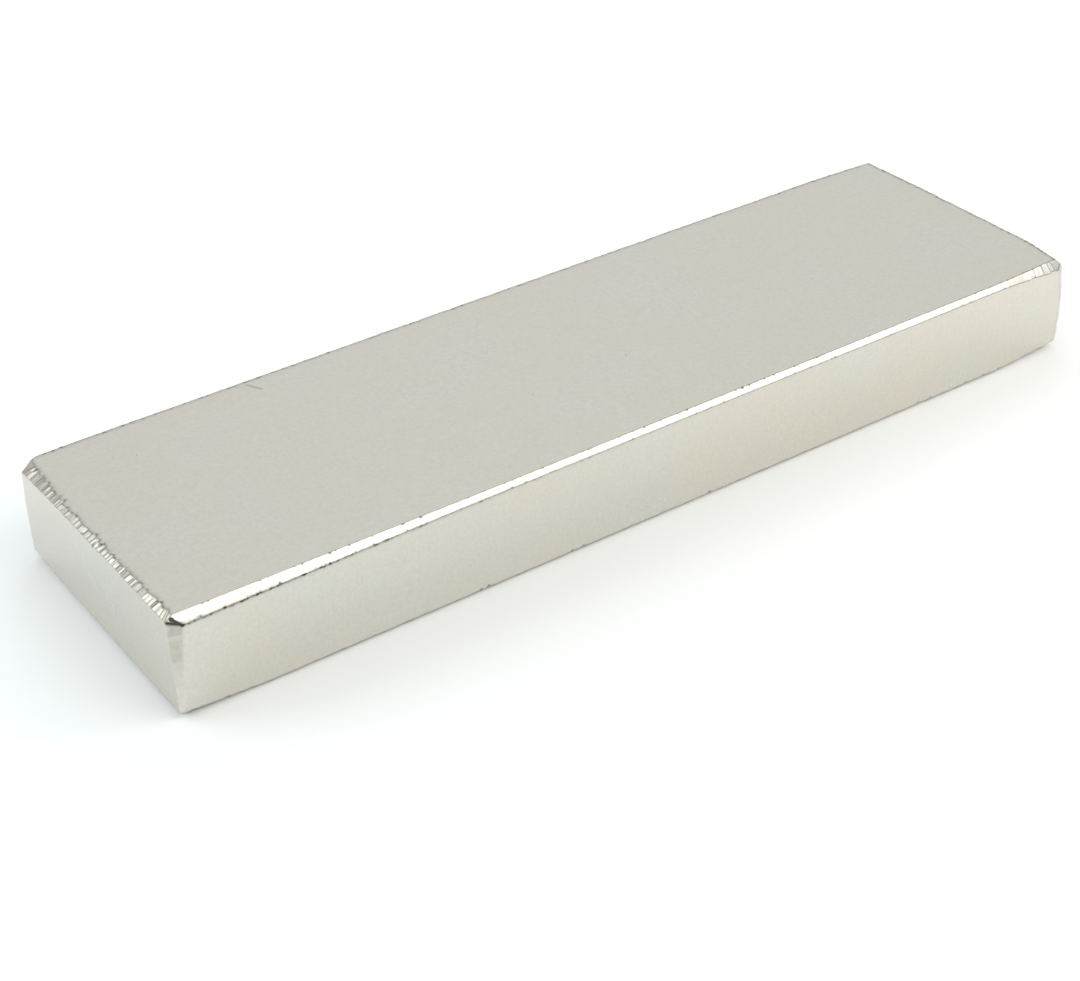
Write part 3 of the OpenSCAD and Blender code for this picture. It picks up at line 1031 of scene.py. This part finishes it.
# left, right, low, high and softness in degrees, then the change of light
WINDOWS = [
    (12, 64, 26, 64, 7, 1.5),
    (132, 154, 29, 60, 12, 0.04),
    (60, 128, 45, 66, 14, -0.40),
    (0, 62, -12, 17, 8, -0.45),
    (113, 172, -12, 14, 8, -0.45),
    (-170, -140, 35.3, 62, 3, 1.10),
    (-170, -140, 18, 35, 5, -0.12),
    (-190, -169, 15, 60, 6, -0.40),
    (172, 190, 15, 60, 6, -0.40),
]
world = bpy.data.worlds.new("room")
bpy.context.scene.world = world
world.use_nodes = True
tree = world.node_tree
direction = add(tree, "ShaderNodeTexCoord").outputs["Generated"]
way = add(tree, "ShaderNodeSeparateXYZ", None, Vector=direction).outputs
backwards = math_node(tree, "MULTIPLY", way["Y"], -1.0)
degrees = math.degrees(1)
azimuth = math_node(tree, "MULTIPLY", math_node(tree, "ARCTAN2", way["X"], backwards), degrees)
elevation = math_node(tree, "MULTIPLY", math_node(tree, "ARCSINE", way["Z"]), degrees)
light = 1.0
for left, right_side, bottom, top, soft, change in WINDOWS:
    window = add(tree, "ShaderNodeGroup", {"node_tree": window_group}, Azimuth=azimuth,
                 Elevation=elevation, Left=float(left), Right=float(right_side), Low=float(bottom),
                 High=float(top), Soft=float(soft))
    light = math_node(tree, "MULTIPLY_ADD", window.outputs[0], float(change), light)
tree.nodes["Background"].inputs["Color"].default_value = (*ROOM, 1)
tree.links.new(light, tree.nodes["Background"].inputs["Strength"])
print(len(WINDOWS), "windows")

# %% [markdown]
# The paper has to come out nearly white, but the windows above are set by what the metal shows.
# So three small soft lamps light the paper alone: they are hidden from reflections, and a metal
# shows nothing but reflections. A warm one stands at the front right, a white one behind it and a
# cool one on the left, which gives the shadows their faint tints.

# %% Lamps for the paper
# name: place and width in metres, power in watts, colour
LAMPS = {"front_right": ((0.17, -0.10, 0.08), 0.08, 0.105, (1.0, 0.86, 0.80)),
         "back_right": ((0.20, 0.28, 0.22), 0.30, 0.150, (1.0, 1.0, 1.0)),
         "left": ((-0.20, 0.10, 0.09), 0.12, 0.125, (0.70, 0.86, 1.0))}
for name, (place, width, watts, tint) in LAMPS.items():
    lamp = bpy.data.lights.new(name, "AREA")
    lamp.size = width
    lamp.energy = watts
    lamp.color = tint
    holder = bpy.data.objects.new(name, lamp)
    holder.location = place
    holder.rotation_euler = Vector(place).to_track_quat("Z", "Y").to_euler()
    holder.visible_glossy = False
    bpy.context.scene.collection.objects.link(holder)
print(", ".join(LAMPS), "lamps")

# %% [markdown]
# The picture is shown as it is measured, with no film curve, so that the paper stays white.

# %% Colour
bpy.context.scene.view_settings.view_transform = "Standard"
